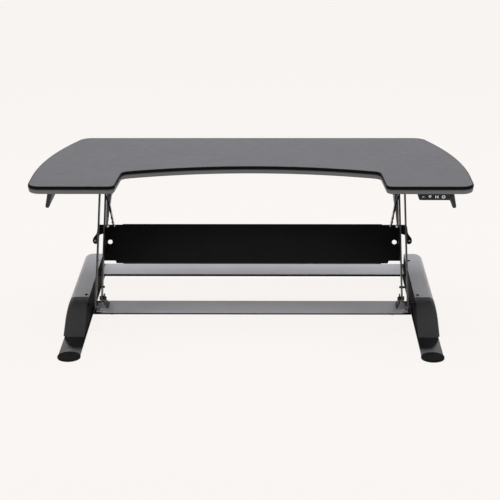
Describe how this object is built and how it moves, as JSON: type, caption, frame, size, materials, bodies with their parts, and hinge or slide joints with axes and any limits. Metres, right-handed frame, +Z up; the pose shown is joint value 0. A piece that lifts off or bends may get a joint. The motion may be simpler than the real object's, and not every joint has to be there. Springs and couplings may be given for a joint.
{
  "type": "standing desk converter",
  "caption": "Electric sit-stand desk converter with a notched worktop on parallel leaning arms, low side rails, cross bars, a keypad and carrying grips.",
  "frame": {"origin": "on the floor under the middle of the plan outline", "axes": "+X to the right of the user, +Y away from the user, +Z up; modelled raised"},
  "size_m": [1.219, 0.731, 0.48],
  "materials": {
    "laminate": "fine-textured dark grey laminate",
    "grey_cover": "satin grey",
    "grey_bar": "satin grey powder coat",
    "nose_plastic": "satin black moulding",
    "black_paint": "semi-matt black powder coat",
    "black_plastic": "fine-textured black",
    "key_plastic": "black keys with light glyphs",
    "grip_plastic": "textured dark grey moulding",
    "rubber": "matt black rubber",
    "zinc_steel": "zinc-plated steel",
    "cable_jacket": "matt black cable jacket"
  },
  "bodies": {
    "base": {"bar_pad_left": "rubber", "bar_pad_right": "rubber", "base_front_bar": "grey_bar", "base_rear_bar": "grey_bar", "cover_screw_front_left": "black_paint", "cover_screw_front_right": "black_paint", "cover_screw_rear_left": "black_paint", "cover_screw_rear_right": "black_paint", "foot_disc_left": "rubber", "foot_disc_right": "rubber", "foot_pad_rear_left": "rubber", "foot_pad_rear_right": "rubber", "front_base_bolt_left": "zinc_steel", "front_base_bolt_right": "zinc_steel", "nose_cap_left": "nose_plastic", "nose_cap_right": "nose_plastic", "pivot_mount_left": "black_paint", "pivot_mount_right": "black_paint", "rail_cover_left": "grey_cover", "rail_cover_right": "grey_cover", "rail_frame_left": "black_paint", "rail_frame_right": "black_paint", "rear_base_bolt_left": "zinc_steel", "rear_base_bolt_right": "zinc_steel"},
    "inner_arms": {"arm_pin_left": "black_paint", "arm_pin_right": "black_paint", "bump_stop_left": "rubber", "bump_stop_right": "rubber", "cross_panel": "black_paint", "drive_sector": "zinc_steel", "rear_arm_left": "black_paint", "rear_arm_right": "black_paint", "stay_bracket_left": "zinc_steel", "stay_bracket_right": "zinc_steel", "stay_rod_left": "zinc_steel", "stay_rod_right": "zinc_steel", "torque_tube": "zinc_steel"},
    "outer_arms": {"front_arm_left": "black_paint", "front_arm_right": "black_paint"},
    "top": {"control_box": "black_plastic", "drive_motor": "zinc_steel", "front_top_bolt_left": "zinc_steel", "front_top_bolt_right": "zinc_steel", "gear_case_left": "black_plastic", "gear_case_right": "black_plastic", "grip_left": "grip_plastic", "grip_right": "grip_plastic", "keypad_cable": "cable_jacket", "keypad_housing": "black_plastic", "motor_cable": "cable_jacket", "pivot_bracket_left": "black_paint", "pivot_bracket_right": "black_paint", "power_inlet": "black_plastic", "worktop": "laminate"},
    "pinion": {"drive_pinion": "zinc_steel"},
    "key_1": {"button_1": "key_plastic"},
    "key_2": {"button_2": "key_plastic"},
    "key_3": {"button_3": "key_plastic"},
    "key_4": {"button_4": "key_plastic"}
  },
  "joints": [
    {"name": "lift", "type": "hinge", "parent": "base", "child": "inner_arms", "pos_m": [0, -0.038, 0.07], "axis": [1, 0, 0], "range_deg": [-52.5, 0]},
    {"name": "outer_arm_swing", "type": "hinge", "parent": "base", "child": "outer_arms", "pos_m": [0, -0.088, 0.07], "axis": [1, 0, 0], "range_deg": [-52.5, 0]},
    {"name": "top_pivot", "type": "hinge", "parent": "inner_arms", "child": "top", "pos_m": [0, 0.22202, 0.43997], "axis": [1, 0, 0], "range_deg": [0, 52.5]},
    {"name": "pinion_spin", "type": "hinge", "parent": "top", "child": "pinion", "pos_m": [0, 0.22202, 0.40457], "axis": [1, 0, 0], "range_deg": [0, 210]},
    {"name": "key_1_press", "type": "slide", "parent": "top", "child": "key_1", "axis": [0, 1, 0], "range_m": [0, 0.0012], "stiffness_N_per_m": 400},
    {"name": "key_2_press", "type": "slide", "parent": "top", "child": "key_2", "axis": [0, 1, 0], "range_m": [0, 0.0012], "stiffness_N_per_m": 400},
    {"name": "key_3_press", "type": "slide", "parent": "top", "child": "key_3", "axis": [0, 1, 0], "range_m": [0, 0.0012], "stiffness_N_per_m": 400},
    {"name": "key_4_press", "type": "slide", "parent": "top", "child": "key_4", "axis": [0, 1, 0], "range_m": [0, 0.0012], "stiffness_N_per_m": 400}
  ],
  "couplings": [
    {"joint": "outer_arm_swing", "follows": "lift", "ratio": 1},
    {"joint": "top_pivot", "follows": "lift", "ratio": -1},
    {"joint": "pinion_spin", "follows": "lift", "ratio": -4}
  ]
}
